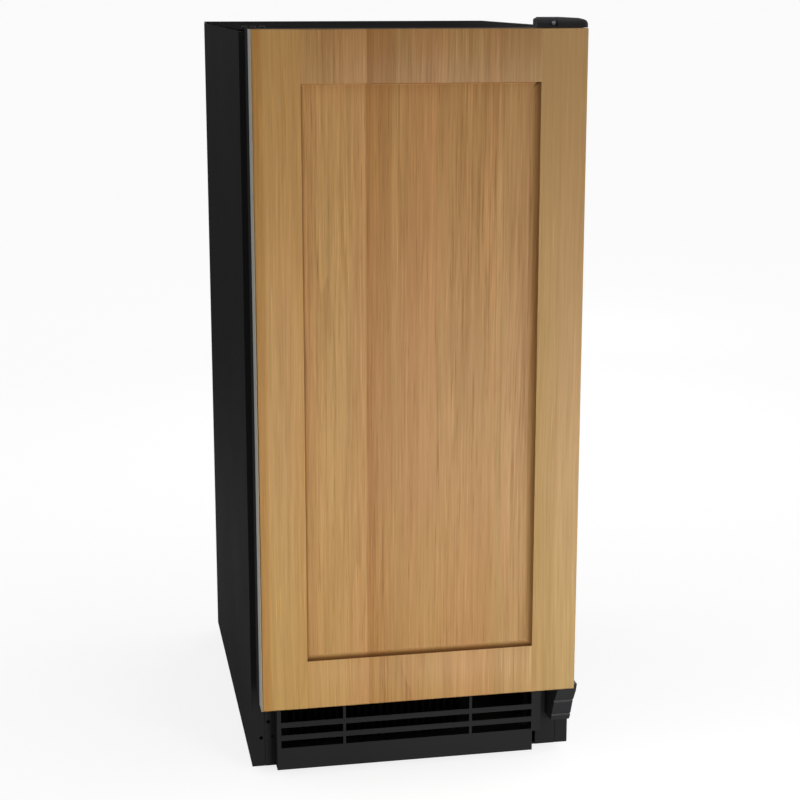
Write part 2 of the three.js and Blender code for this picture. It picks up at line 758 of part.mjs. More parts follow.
function buildBinFittings(cabinet) {
  piece(cabinet, 'control_housing', controlHousing(), WHITE_PLASTIC);
  for (const [name, x] of Object.entries(BUTTON_XS)) {
    piece(cabinet, name, pushButton(), MOTOR_GREY, x, CONTROL.y0 + 4, CONTROL.buttonZ);
  }
  const lensTop = CONTROL.z0 - GAP;
  piece(cabinet, 'light_lens', block(-60, 60, 52, 92, lensTop - 4, lensTop), CLEAR_PLASTIC);
  const bulb = join(
    bar('y', 4, 190, 132, 215, 588, 12),
    block(128, BIN_HALF_W - GAP, 140, 150, 583, 593),
    block(128, BIN_HALF_W - GAP, 280, 290, 583, 593),
  );
  piece(cabinet, 'bin_thermostat_bulb', bulb, COPPER);
  piece(cabinet, 'scoop_holder', scoopHolder(), STEEL);
  const scoopX = SCOOP_TRAY.x + SCOOP_TRAY.t + 2.7;
  const scoopY = (SCOOP_TRAY.front + SCOOP_TRAY.back) / 2;
  const scoopZ = SCOOP_TRAY.bottom + SCOOP_TRAY.t + GAP;
  piece(cabinet, 'ice_scoop', iceScoop(), WHITE_PLASTIC, scoopX, scoopY, scoopZ);
}

// ---------- hinges ----------

// Stepped plate on the cabinet's top that reaches over the door, with the upper pin
function upperHingeBracket() {
  return join(
    block(BRACKET.x0, BRACKET.x1, 6, BRACKET.back, CABINET_H + GAP, CABINET_H + GAP + BRACKET.t),
    block(BRACKET.x0, BRACKET.x1, BRACKET.front, 10, 848, 851),
    bar('z', PIN.r, 16, PIN.x, PIN.y, 842, 24),
  );
}

// Outline of the upper cover in x and z, with an eased left end and a rounded right end
function upperCoverShape(left, bottom) {
  const right = COVER.x1;
  return [
    [left, bottom],
    [right, bottom],
    [right, COVER_TOP - 6],
    [right - 1, COVER_TOP - 3.5],
    [right - 3.5, COVER_TOP - 1.3],
    [right - 8, COVER_TOP],
    [left + 1.6, COVER_TOP],
    [left, COVER_TOP - 1.6],
  ];
}

// Hollow cover over the bracket, with an arm along the door's top, a seam between the two,
// a top that slopes down to the front right of the seam, and a notch at the back for the bracket
function upperHingeCover() {
  const { x0, seam, x1, front, armBack, back, roof, wall } = COVER;
  const overDoor = DOOR_TOP + GAP;
  const overTop = CABINET_H + GAP;
  const slope = [
    [front - 1, COVER_TOP - 2.6],
    [front + 12, COVER_TOP + 1],
    [front - 1, COVER_TOP + 1],
  ];
  return cut(
    join(
      runAlongY(upperCoverShape(x0, overDoor), front, armBack),
      runAlongY(upperCoverShape(seam, overDoor), front, 2),
      runAlongY(upperCoverShape(seam, overTop), 1, back),
    ),
    block(x0 + wall, x1 - wall, front + wall, armBack - wall, overTop - PAST, roof),
    block(seam + wall, x1 - wall, front + wall, back - wall, overTop - PAST, roof),
    block(
      BRACKET.x0 - GAP,
      BRACKET.x1 + GAP,
      back - PAST,
      back + PAST,
      overTop - PAST,
      overTop + BRACKET.t + GAP,
    ),
    block(seam, seam + COVER_SEAM, front - 1, front + COVER_SEAM, overDoor - 1, COVER_TOP + 1),
    runAlongX(slope, seam + COVER_SEAM, x1 + PAST),
    bar('y', 1.6, 12, COVER_SCREW.x, front, COVER_SCREW.z, 12),
  );
}

// Angle plate under the door with a gusset and the lower pin
function lowerHingeBracket() {
  return join(
    block(165, 182, -3.3, -GAP, 44, 94.5),
    block(165, 182, -44, -GAP, 91.5, 94.5),
    runAlongX([[-3, 54], [-3, 92], [-32, 92]], 180, 182),
    bar('z', PIN.r, 18, PIN.x, PIN.y, 102, 24),
  );
}

// Corbel outline of the lower cover in y and z, with two grooves across its front
function lowerCoverShape() {
  const { bottom, top } = SHOE;
  return [
    [-GAP, bottom],
    [-24, bottom],
    [-28, 45],
    [-29, 47.6],
    [-28, 48.4],
    [-28, 49.6],
    [-30.2, 50.6],
    [-32, 55],
    [-36.5, 65],
    [-38.6, 68.5],
    [-37.6, 69.4],
    [-37.6, 70.8],
    [-40.2, 71.3],
    [-42.5, 75],
    [-50, 86],
    [-54, top],
    [-GAP, top],
  ];
}

// Outline of the space inside the lower cover, open at the back and the top
function lowerCoverHollow() {
  const { bottom, top, wall } = SHOE;
  return [
    [5, bottom + wall],
    [-24 + wall, bottom + wall],
    [-36.5 + 2 * wall, 65],
    [-54 + 2 * wall, top],
    [-54 + 2 * wall, top + 10],
    [5, top + 10],
  ];
}

// Hollow shoe round the lower bracket
function lowerHingeCover() {
  const { x0, x1, wall } = SHOE;
  return cut(runAlongX(lowerCoverShape(), x0, x1), runAlongX(lowerCoverHollow(), x0 + wall, x1 - wall));
}

function buildHinges(cabinet) {
  piece(cabinet, 'upper_hinge_bracket', upperHingeBracket(), BLACK_STEEL);
  piece(cabinet, 'upper_hinge_cover', upperHingeCover(), BLACK_PLASTIC);
  const screw = join(bar('y', COVER_SCREW.r, 1.2, 0, -0.6, 0, 16), bar('y', 1.2, 6, 0, 2.5, 0, 12));
  piece(cabinet, 'hinge_cover_screw', screw, STEEL, COVER_SCREW.x, COVER.front - GAP, COVER_SCREW.z);
  piece(cabinet, 'lower_hinge_bracket', lowerHingeBracket(), BLACK_STEEL);
  piece(cabinet, 'lower_hinge_cover', lowerHingeCover(), BLACK_PLASTIC);
}

// ---------- door ----------

const PAN_WALL = 1.2;

// Steel outer pan, open at the back, with a hole for each bushing
function doorPan() {
  const pocketFront = PAN_FRONT + PAN_WALL;
  return cut(
    block(DOOR_LEFT, DOOR_RIGHT, PAN_FRONT, -DOOR_STANDOFF, DOOR_BOTTOM, DOOR_TOP),
    block(
      DOOR_LEFT + PAN_WALL,
      DOOR_RIGHT - PAN_WALL,
      pocketFront,
      0,
      DOOR_BOTTOM + PAN_WALL,
      DOOR_TOP - PAN_WALL,
    ),
    bar('z', BUSHING.r + GAP, 10, PIN.x, PIN.y, DOOR_BOTTOM),
    bar('z', BUSHING.r + GAP, 10, PIN.x, PIN.y, DOOR_TOP),
  );
}

function doorFoam() {
  const inset = PAN_WALL + GAP;
  const [socket, reach] = [17, 9];
  const fill = block(
    DOOR_LEFT + inset,
    DOOR_RIGHT - inset,
    PAN_FRONT + inset,
    -DOOR_STANDOFF - 2.5,
    DOOR_BOTTOM + inset,
    DOOR_TOP - inset,
  );
  return cut(
    fill,
    ...[[DOOR_BOTTOM - PAST, DOOR_BOTTOM + socket], [DOOR_TOP - socket, DOOR_TOP + PAST]].map(([z0, z1]) =>
      block(PIN.x - reach, DOOR_RIGHT + PAST, PIN.y - reach, PIN.y + reach, z0, z1),
    ),
  );
}

// White inner sheet with a raised tray that enters the bin's mouth
function doorInnerLiner() {
  const inset = PAN_WALL + GAP;
  const back = -DOOR_STANDOFF;
  const trayX = BIN_HALF_W - 9;
  const sheet = block(
    DOOR_LEFT + inset,
    DOOR_RIGHT - inset,
    back - 2.2,
    back,
    DOOR_BOTTOM + inset,
    DOOR_TOP - inset,
  );
  const depth = 22;
  const [bottom, top] = [BIN_FLOOR + 8, BIN_TOP - 8];
  const tray = block(-trayX, trayX, back - 1, back + depth, bottom, top);
  const hollow = block(
    -trayX + LINER,
    trayX - LINER,
    back - PAST,
    back + depth - LINER,
    bottom + LINER,
    top - LINER,
  );
  return cut(join(sheet, tray), hollow);
}

// Bellows gasket: two wide lips with a narrower web between them
function doorGasket() {
  const [x0, x1, z0, z1] = [-172, 172, DOOR_BOTTOM + 7, DOOR_TOP - 18];
  const frame = (inset, width, y0, y1) =>
    cut(
      block(x0 + inset, x1 - inset, y0, y1, z0 + inset, z1 - inset),
      block(
        x0 + inset + width,
        x1 - inset - width,
        y0 - PAST,
        y1 + PAST,
        z0 + inset + width,
        z1 - inset - width,
      ),
    );
  const front = -DOOR_STANDOFF + GAP;
  return join(frame(0, 14, front, -7), frame(2.5, 9, -7.5, -2.5), frame(0, 14, -3, -GAP));
}

function bushing() {
  const profile = [
    [BUSHING.bore, 0],
    [BUSHING.r, 0],
    [BUSHING.r, BUSHING.length],
    [BUSHING.bore, BUSHING.length],
    [BUSHING.bore, 0],
  ];
  return turned(profile, 24);
}

// Shaker overlay: two stiles, two rails and a set-back centre panel
function buildOverlay(cabinet) {
  const [back, front] = [OVERLAY_BACK, OVERLAY_FRONT];
  const railLeft = DOOR_LEFT + STILE_W + JOINT_GAP;
  const railRight = DOOR_RIGHT - STILE_W - JOINT_GAP;
  const leftStile = block(DOOR_LEFT, DOOR_LEFT + STILE_W, front, back, DOOR_BOTTOM, DOOR_TOP);
  const rightStile = block(DOOR_RIGHT - STILE_W, DOOR_RIGHT, front, back, DOOR_BOTTOM, DOOR_TOP);
  const topRail = block(railLeft, railRight, front, back, DOOR_TOP - RAIL_H, DOOR_TOP);
  const bottomRail = block(railLeft, railRight, front, back, DOOR_BOTTOM, DOOR_BOTTOM + RAIL_H);
  const panel = block(
    railLeft,
    railRight,
    front + RECESS,
    back,
    DOOR_BOTTOM + RAIL_H + JOINT_GAP,
    DOOR_TOP - RAIL_H - JOINT_GAP,
  );
  piece(cabinet, 'overlay_stile_left', leftStile, OAK);
  piece(cabinet, 'overlay_stile_right', rightStile, OAK);
  piece(cabinet, 'overlay_rail_top', topRail, OAK);
  piece(cabinet, 'overlay_rail_bottom', bottomRail, OAK);
  piece(cabinet, 'overlay_panel', panel, OAK_PANEL);
}

function buildDoor(cabinet) {
  piece(cabinet, 'door_pan', doorPan(), BLACK_STEEL);
  piece(cabinet, 'door_foam', doorFoam(), FOAM);
  piece(cabinet, 'door_inner_liner', doorInnerLiner(), WHITE_PLASTIC);
  piece(cabinet, 'door_gasket', doorGasket(), GREY_RUBBER);
  piece(cabinet, 'lower_door_bushing', bushing(), WHITE_PLASTIC, PIN.x, PIN.y, DOOR_BOTTOM);
  piece(cabinet, 'upper_door_bushing', bushing(), WHITE_PLASTIC, PIN.x, PIN.y, DOOR_TOP - BUSHING.length);
  buildOverlay(cabinet);
  const trim = block(
    DOOR_LEFT - GAP - TRIM.t,
    DOOR_LEFT - GAP,
    OVERLAY_FRONT + TRIM.setBack,
    PAN_FRONT + TRIM.overPan,
    DOOR_BOTTOM,
    DOOR_TOP,
  );
  piece(cabinet, 'door_edge_trim', trim, ALUMINIUM);
}

// ---------- assembly ----------

const iceMaker = new THREE.Group();
const cabinet = new THREE.Group();
cabinet.position.set(0, -(CABINET_D + OVERLAY_FRONT) / 2, FOOT_GAP);
iceMaker.add(cabinet);

buildShell(cabinet);
buildBase(cabinet);
buildMachineBay(cabinet);
buildIceModule(cabinet);
buildBinFittings(cabinet);
buildHinges(cabinet);
buildDoor(cabinet);

export default iceMaker;
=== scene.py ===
"""Looks of an under-counter ice maker with a shaker overlay door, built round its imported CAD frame.

Metres, +Z up, the door faces -Y and is hinged on the viewer's right.
"""
import json
import math

import bmesh
import bpy
from mathutils import Matrix, Vector


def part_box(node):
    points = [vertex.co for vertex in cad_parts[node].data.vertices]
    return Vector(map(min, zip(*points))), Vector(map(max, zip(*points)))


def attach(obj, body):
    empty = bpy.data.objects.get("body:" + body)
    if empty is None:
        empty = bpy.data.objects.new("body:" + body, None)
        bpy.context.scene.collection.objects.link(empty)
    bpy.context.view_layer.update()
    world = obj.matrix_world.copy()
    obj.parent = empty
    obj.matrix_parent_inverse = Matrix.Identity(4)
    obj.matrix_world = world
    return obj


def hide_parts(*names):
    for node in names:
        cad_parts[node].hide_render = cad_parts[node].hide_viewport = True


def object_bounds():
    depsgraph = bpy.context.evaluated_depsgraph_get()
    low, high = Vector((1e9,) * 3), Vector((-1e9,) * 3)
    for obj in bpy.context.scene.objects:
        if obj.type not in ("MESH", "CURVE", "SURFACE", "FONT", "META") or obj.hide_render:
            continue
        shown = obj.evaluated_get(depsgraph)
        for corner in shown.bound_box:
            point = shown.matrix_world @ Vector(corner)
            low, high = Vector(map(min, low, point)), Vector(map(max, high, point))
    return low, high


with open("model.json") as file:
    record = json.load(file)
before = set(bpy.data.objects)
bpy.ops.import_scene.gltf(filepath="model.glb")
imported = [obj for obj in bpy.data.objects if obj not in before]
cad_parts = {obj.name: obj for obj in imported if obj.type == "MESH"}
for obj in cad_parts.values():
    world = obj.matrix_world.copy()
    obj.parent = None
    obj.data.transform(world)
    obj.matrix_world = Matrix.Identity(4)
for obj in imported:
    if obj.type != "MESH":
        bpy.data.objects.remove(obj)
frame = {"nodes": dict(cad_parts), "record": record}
CAD_LO, CAD_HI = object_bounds()
NODES = frame["nodes"]
SCENE = bpy.context.scene
MM = 0.001
WHITE = (1.0, 1.0, 1.0, 1.0)
CORNERS = ("front_left", "front_right", "rear_left", "rear_right")
FRAME_MEMBERS = ("overlay_stile_left", "overlay_stile_right", "overlay_rail_bottom", "overlay_rail_top")

# ---------------------------------------------------------------- node graph helpers


# the Mix node has sockets of the same name for floats, vectors and colours, so they go by number
FLOAT_A, FLOAT_B, FLOAT_RESULT = 2, 3, 0
COLOUR_A, COLOUR_B, COLOUR_RESULT = 6, 7, 2


class Graph:
    """A material's node tree, with short calls for the nodes that repeat."""

    def __init__(self, name):
        self.material = bpy.data.materials.new(name)
        self.material.use_nodes = True
        self.tree = self.material.node_tree
        self.bsdf = self.tree.nodes["Principled BSDF"]
        self.coords = self.tree.nodes.new("ShaderNodeTexCoord").outputs["Object"]

    def node(self, kind, inputs=None, **settings):
        made = self.tree.nodes.new(kind)
        for key, value in settings.items():
            setattr(made, key, value)
        for key, value in (inputs or {}).items():
            self.feed(made.inputs[key], value)
        return made

    def feed(self, socket, value):
        if isinstance(value, bpy.types.NodeSocket):
            self.tree.links.new(value, socket)
        else:
            socket.default_value = value

    def stretched(self, scale, source=None):
        vector = source if source is not None else self.coords
        made = self.node("ShaderNodeMapping", {"Vector": vector, "Scale": scale})
        return made.outputs["Vector"]

    def noise(self, vector, scale=1.0, detail=3.0, roughness=0.5):
        inputs = {"Vector": vector, "Scale": scale, "Detail": detail, "Roughness": roughness}
        return self.node("ShaderNodeTexNoise", inputs).outputs["Fac"]

    def math(self, operation, a, b=0.0):
        return self.node("ShaderNodeMath", {0: a, 1: b}, operation=operation).outputs[0]

    def combined(self, red, green, blue):
        inputs = {"Red": red, "Green": green, "Blue": blue}
        return self.node("ShaderNodeCombineColor", inputs).outputs["Color"]

    def span(self, value, low, high, to_low=0.0, to_high=1.0, smooth=False):
        kind = "SMOOTHSTEP" if smooth else "LINEAR"
        made = self.node(
            "ShaderNodeMapRange",
            {"Value": value, "From Min": low, "From Max": high, "To Min": to_low, "To Max": to_high},
            interpolation_type=kind,
        )
        return made.outputs["Result"]

    def mix(self, factor, a, b, blend="MIX"):
        made = self.node("ShaderNodeMix", data_type="RGBA", blend_type=blend)
        self.feed(made.inputs["Factor"], factor)
        self.feed(made.inputs[COLOUR_A], a)
        self.feed(made.inputs[COLOUR_B], b)
        return made.outputs[COLOUR_RESULT]

    def ramp(self, value, stops):
        made = self.node("ShaderNodeValToRGB", {"Fac": value})
        elements = made.color_ramp.elements
        while len(elements) < len(stops):
            elements.new(0.5)
        for element, (place, colour) in zip(elements, stops):
            element.position = place
            element.color = colour
        return made.outputs["Color"]

    def bump(self, height, strength, distance):
        made = self.node("ShaderNodeBump", {"Height": height, "Strength": strength, "Distance": distance})
        self.tree.links.new(made.outputs["Normal"], self.bsdf.inputs["Normal"])

    def set(self, **sockets):
        for name, value in sockets.items():
            self.feed(self.bsdf.inputs[name.replace("_", " ")], value)
        return self.material


def grey(level):
    return (level, level, level, 1.0)


def srgb(red, green, blue):
    """A display colour, 0 to 255, as the linear colour that a shader takes."""

    def linear(value):
        value /= 255
        return value / 12.92 if value <= 0.04045 else ((value + 0.055) / 1.055) ** 2.4

    return (linear(red), linear(green), linear(blue), 1.0)


# ---------------------------------------------------------------- materials

DOOR_X = (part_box("overlay_stile_left")[0].x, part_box("overlay_stile_right")[1].x)
DOOR_Z = (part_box("overlay_rail_bottom")[0].z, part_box("overlay_rail_top")[1].z)
BOARD_EDGES = (-0.174, -0.0635, -0.036, 0.0125, 0.088)
WOOD_TAN = srgb(191, 141, 89)
WOOD_OLIVE = srgb(187, 146, 90)
# brown of the shade painted into the recess corners
PAINTED_SHADE_BROWN = srgb(90, 54, 22)
# how much of the grain's tone goes into red, green and blue: dark grain is warmer than light grain
TONE_SHARES = (0.93, 1.07, 1.35)
# the boards' tints, with painted shade on the panel next to the hinge-side stile, by place across the door
# from its free side, 0, to its hinge side, 1
BOARD_TINTS_AND_EDGE_SHADE = [
    (0.000, (0.98, 0.93, 0.71, 1.0)),
    (0.026, (0.98, 0.93, 0.71, 1.0)),
    (0.030, (1.06, 1.11, 0.97, 1.0)),
    (0.139, (1.06, 1.09, 0.97, 1.0)),
    (0.143, (1.10, 1.10, 1.05, 1.0)),
    (0.333, (1.08, 1.06, 1.06, 1.0)),
    (0.337, (0.84, 0.72, 0.59, 1.0)),
    (0.358, (0.86, 0.76, 0.65, 1.0)),
    (0.362, (0.91, 0.83, 0.72, 1.0)),
    (0.408, (0.88, 0.84, 0.74, 1.0)),
    (0.415, (0.94, 0.92, 0.86, 1.0)),
    (0.730, (0.93, 0.90, 0.89, 1.0)),
    (0.760, (0.90, 0.98, 0.99, 1.0)),
    # 0.815 to 0.857: painted shade, darkening the panel towards the recess's hinge-side edge
    (0.815, (0.86, 0.92, 0.94, 1.0)),
    (0.857, (0.80, 0.83, 0.82, 1.0)),
    (0.860, (0.98, 1.11, 1.20, 1.0)),
    (1.000, (0.95, 1.09, 1.18, 1.0)),
]
# the rails are like the panel behind them, but run into the hinge-side stile without the panel's painted
# shade along it
RAIL_TINTS = BOARD_TINTS_AND_EDGE_SHADE[:-3] + [(0.857, (0.91, 1.02, 1.06, 1.0))] + BOARD_TINTS_AND_EDGE_SHADE[-2:]

# how lively the grain is, by the same places as the tints: calm stiles, a lively centre panel
BOARD_LIFE = [(0.139, 0.66), (0.143, 0.92), (0.600, 0.92), (0.857, 0.82), (0.860, 0.42)]


def wood_material(name, tints=BOARD_TINTS_AND_EDGE_SHADE, top=1.0, with_painted_shade=False):
    """Light, clear-finished hardwood in wide glued boards: upright grain, growth lines, pores and flecks.

    top paints light or shade onto the wood from the door's middle up: above 1 the top is painted lighter,
    below 1 darker.
    Wood made with painted shade is also darkened towards brown by the mesh's painted-shade attribute, in the
    recess corners.
    """
    g = Graph(name)
    place = g.node("ShaderNodeSeparateXYZ", {"Vector": g.coords})
    x, z = place.outputs["X"], place.outputs["Z"]

    # boards, from the free side to the hinge side: each edge starts a new piece of grain
    boards = 0.0
    for edge in BOARD_EDGES:
        boards = g.math("ADD", g.math("GREATER_THAN", x, edge), boards)
    slow = g.noise(g.stretched((3.0, 3.0, 1.3)), detail=1.0)
    quick = g.noise(g.stretched((16.0, 16.0, 4.5)), detail=2.0)
    bent = g.math("ADD", x, g.math("MULTIPLY", g.math("SUBTRACT", slow, 0.5), 0.022))
    bent = g.math("ADD", bent, g.math("MULTIPLY", g.math("SUBTRACT", quick, 0.5), 0.0036))
    along = g.math("ADD", z, g.math("MULTIPLY", boards, 3.7))
    grain = {"X": bent, "Y": place.outputs["Y"], "Z": along}
    grain = g.node("ShaderNodeCombineXYZ", grain).outputs["Vector"]

    hue = g.span(g.noise(g.stretched((13.0, 13.0, 1.0), grain), detail=2.0), 0.36, 0.64)
    colour = g.mix(hue, WOOD_OLIVE, WOOD_TAN)
    across = g.span(x, DOOR_X[0], DOOR_X[1])
    # the boards' tints, with the painted shade along the panel's hinge-side edge
    colour = g.mix(1.0, colour, g.ramp(across, tints), "MULTIPLY")
    # painted light and shade: from the door's middle up the colour is scaled towards top, lighter above 1,
    # darker below 1
    rise = g.span(z, sum(DOOR_Z) / 2, DOOR_Z[1], 1.0, top)
    colour = g.mix(1.0, colour, g.combined(rise, rise, rise), "MULTIPLY")

    # how lively the grain is changes slowly across the door
    calm = g.span(g.noise(g.stretched((9.0, 9.0, 1.6), grain), detail=2.0), 0.35, 0.65, 0.55, 1.25)
    broad = g.noise(g.stretched((26.0, 26.0, 1.1), grain), detail=3.0)
    streak = g.noise(g.stretched((110.0, 110.0, 2.6), grain), detail=5.0, roughness=0.68)
    fine = g.noise(g.stretched((520.0, 520.0, 9.0), grain), detail=4.0, roughness=0.7)
    lively = g.math("ADD", g.span(streak, 0.3, 0.7, -0.13, 0.12), g.span(fine, 0.3, 0.7, -0.23, 0.23))
    tone = g.math("ADD", g.span(broad, 0.3, 0.7, -0.06, 0.06), g.math("MULTIPLY", lively, calm))

    # growth lines: unevenly spaced, leaning, darker on one side, and only in places
    ring_warp = g.noise(g.stretched((7.0, 7.0, 1.1), grain), detail=2.0)
    ring_step = g.noise(g.stretched((45.0, 45.0, 1.5), grain), detail=1.0)
    ring = g.math("ADD", g.math("MULTIPLY", bent, 38.0), g.math("MULTIPLY", ring_warp, 6.0))
    ring = g.math("FRACT", g.math("ADD", ring, g.math("MULTIPLY", ring_step, 1.6)))
    line = g.math("MULTIPLY", g.span(ring, 0.72, 0.97), g.span(ring, 1.0, 0.985))
    places = g.span(g.noise(g.stretched((14.0, 14.0, 2.0), grain), detail=2.0), 0.50, 0.64)
    line = g.math("MULTIPLY", line, places)
    tone = g.math("SUBTRACT", tone, g.math("MULTIPLY", line, 0.13))

    pore = g.noise(g.stretched((1000.0, 1000.0, 20.0), grain), detail=1.0)
    pore = g.span(pore, 0.64, 0.76)
    fleck = g.noise(g.stretched((600.0, 600.0, 12.0), grain), detail=1.0)
    fleck = g.span(fleck, 0.66, 0.78)
    tone = g.math("SUBTRACT", tone, g.math("MULTIPLY", pore, 0.24))
    tone = g.math("ADD", tone, g.math("MULTIPLY", fleck, 0.26))
    life = g.ramp(across, [(spot, grey(level)) for spot, level in BOARD_LIFE])
    tone = g.math("MULTIPLY", tone, life)
    shade = [g.math("ADD", g.math("MULTIPLY", tone, share), 1.0) for share in TONE_SHARES]
    colour = g.mix(1.0, colour, g.combined(*shade), "MULTIPLY")
    # painted shade: the coves are darkened towards brown in the recess corners
    if with_painted_shade:
        painted_shade = g.node("ShaderNodeAttribute", attribute_name="painted_shade").outputs["Fac"]
        colour = g.mix(painted_shade, colour, PAINTED_SHADE_BROWN)

    rough = g.math("ADD", g.span(fine, 0.3, 0.7, 0.52, 0.42), g.math("MULTIPLY", pore, 0.18))
    height = g.math("SUBTRACT", g.math("MULTIPLY", fine, 0.5), g.math("MULTIPLY", pore, 0.8))
    g.bump(height, 0.14, 0.0004)
    return g.set(Base_Color=colour, Roughness=rough, Specular_IOR_Level=0.22)


def coated_steel(name, tint, texture=2600.0, specular=0.08):
    """Powder coat: a fine orange peel with a little uneven gloss and specks of dust."""
    g = Graph(name)
    peel = g.noise(g.coords, scale=texture, detail=2.0)
    patch = g.noise(g.coords, scale=6.0, detail=3.0)
    dust = g.span(g.noise(g.coords, scale=1300.0, detail=2.0, roughness=0.7), 0.68, 0.80)
    lighter = tuple(channel * 1.25 + 0.001 for channel in tint[:3]) + (1.0,)
    colour = g.mix(patch, tint, lighter)
    colour = g.mix(g.math("MULTIPLY", dust, 0.08), colour, srgb(92, 90, 86))
    g.bump(peel, 0.10, 0.0003)
    rough = g.span(patch, 0.3, 0.7, 0.60, 0.54)
    return g.set(Base_Color=colour, Roughness=rough, Specular_IOR_Level=specular)


def moulded_plastic(name, tint, gloss_low, gloss_high, grain=3200.0, bump=0.08, specular=0.3, mottle=0.12):
    """Moulded plastic with a spark-eroded grain and slight cloudiness."""
    g = Graph(name)
    texture = g.noise(g.coords, scale=grain, detail=2.0)
    cloud = g.noise(g.coords, scale=9.0, detail=1.5)
    lighter = tuple(min(1.0, channel * (1 + mottle) + 0.002) for channel in tint[:3]) + (1.0,)
    colour = g.mix(cloud, tint, lighter)
    g.bump(texture, bump, 0.0002)
    rough = g.span(cloud, 0.3, 0.7, gloss_low, gloss_high)
    return g.set(Base_Color=colour, Roughness=rough, Specular_IOR_Level=specular)


def brushed_metal(name, tint, along, rough_low=0.28, rough_high=0.46):
    """Metal with fine scratches that run along one axis (0, 1 or 2)."""
    g = Graph(name)
    scale = [1400.0, 1400.0, 1400.0]
    scale[along] = 22.0
    brush = g.noise(g.stretched(tuple(scale)), detail=3.0)
    smudge = g.noise(g.coords, scale=18.0, detail=4.0)
    darker = tuple(channel * 0.78 for channel in tint[:3]) + (1.0,)
    colour = g.mix(g.math("MULTIPLY", brush, 0.6), tint, darker)
    g.bump(brush, 0.06, 0.0002)
    rough = g.math("ADD", g.span(brush, 0.3, 0.7, rough_low, rough_high), g.math("MULTIPLY", smudge, 0.08))
    return g.set(Base_Color=colour, Metallic=1.0, Roughness=rough)


def copper_material():
    """Drawn copper with darker, slightly green tarnish in patches."""
    g = Graph("drawn_copper")
    tarnish = g.span(g.noise(g.coords, scale=70.0, detail=5.0, roughness=0.65), 0.42, 0.70)
    colour = g.mix(tarnish, srgb(196, 118, 78), srgb(112, 66, 44))
    rough = g.span(tarnish, 0.0, 1.0, 0.24, 0.52)
    g.bump(g.noise(g.coords, scale=900.0), 0.05, 0.0002)
    return g.set(Base_Color=colour, Metallic=1.0, Roughness=rough)


def foam_material():
    """Rigid foam, cream coloured, with an open-cell bump."""
    g = Graph("rigid_foam")
    cells = g.node("ShaderNodeTexVoronoi", {"Vector": g.coords, "Scale": 900.0}).outputs["Distance"]
    patch = g.noise(g.coords, scale=30.0, detail=4.0)
    colour = g.mix(patch, srgb(226, 208, 150), srgb(205, 182, 120))
    g.bump(cells, 0.35, 0.0006)
    return g.set(Base_Color=colour, Roughness=0.95)


def rubber_material():
    """Extruded rubber, matt, with chalky streaks along the extrusion."""
    g = Graph("seal_rubber")
    chalk = g.span(g.noise(g.coords, scale=240.0, detail=5.0, roughness=0.7), 0.5, 0.8)
    colour = g.mix(g.math("MULTIPLY", chalk, 0.3), srgb(46, 46, 47), srgb(86, 86, 86))
    g.bump(chalk, 0.12, 0.0002)
    return g.set(Base_Color=colour, Roughness=0.82, Specular_IOR_Level=0.25)


def clear_plastic():
    """Frosted translucent sheet."""
    g = Graph("frosted_clear")
    frost = g.noise(g.coords, scale=1500.0, detail=2.0)
    rough = g.span(frost, 0.3, 0.7, 0.18, 0.34)
    g.bump(frost, 0.06, 0.0002)
    return g.set(Base_Color=srgb(222, 232, 236), Roughness=rough, Transmission_Weight=0.75, IOR=1.49)


def make_materials():
    return {
        "black_steel": coated_steel("black_powder_coat", srgb(38, 38, 38)),
        "black_plastic": moulded_plastic("black_moulding", srgb(36, 36, 37), 0.62, 0.50, specular=0.16),
        "white_plastic": moulded_plastic(
            "white_moulding", srgb(230, 232, 231), 0.38, 0.34, 2600.0, bump=0.03, specular=0.4, mottle=0.03
        ),
        "insulation_foam": foam_material(),
        "zinc_steel": brushed_metal("zinc_plate", srgb(186, 189, 192), 0),
        "compressor_black": coated_steel("enamelled_shell", srgb(16, 16, 17), 900.0),
        # black-coated fins, made near black so that the grille's slots read as deep shade: a black coating
        # with painted shade
        "coated_fins": coated_steel("coated_fin_stock_painted_shade", srgb(5, 5, 5), 1200.0),
        "trim_aluminium": moulded_plastic("satin_trim", srgb(206, 206, 200), 0.48, 0.38, 1500.0, 0.05, 0.4),
        "copper": copper_material(),
        "motor_grey": moulded_plastic("motor_enamel", srgb(88, 92, 96), 0.42, 0.32, 1800.0, 0.05, 0.5),
        "clear_plastic": clear_plastic(),
        "rubber": rubber_material(),
        "oak_frame": wood_material("overlay_wood"),
        # the panel is painted lighter towards the door's top: painted light
        "oak_panel": wood_material("overlay_wood_panel", top=1.08),
    }


MATERIALS = make_materials()
COVER_PLASTIC = moulded_plastic("cover_moulding", srgb(58, 58, 61), 0.50, 0.42, 2800.0, 0.10, 0.3)
SHOE_PLASTIC = moulded_plastic("shoe_moulding", srgb(43, 43, 45), 0.50, 0.42, 2800.0, 0.10, 0.4)
# the top sheet: the black powder coat made darker and with less sheen, painted shade on the top
TOP_COAT_PAINTED_SHADE = coated_steel("top_powder_coat_painted_shade", srgb(20, 20, 20), specular=0.01)
BLACK_OXIDE = brushed_metal("black_oxide", srgb(66, 66, 68), 0, 0.40, 0.55)
NOSE_SATIN = moulded_plastic("nose_satin", srgb(196, 186, 164), 0.48, 0.38, 1500.0, 0.05, 0.3)
# the rails are painted darker towards the door's top: painted shade
RAIL_WOOD = wood_material("overlay_wood_rail", tints=RAIL_TINTS, top=0.91)
# the coves' wood: painted shade in the recess corners, and painted lighter towards the top like the panel
PAINTED_SHADE_WOOD = wood_material("overlay_wood_painted_shade", top=1.08, with_painted_shade=True)


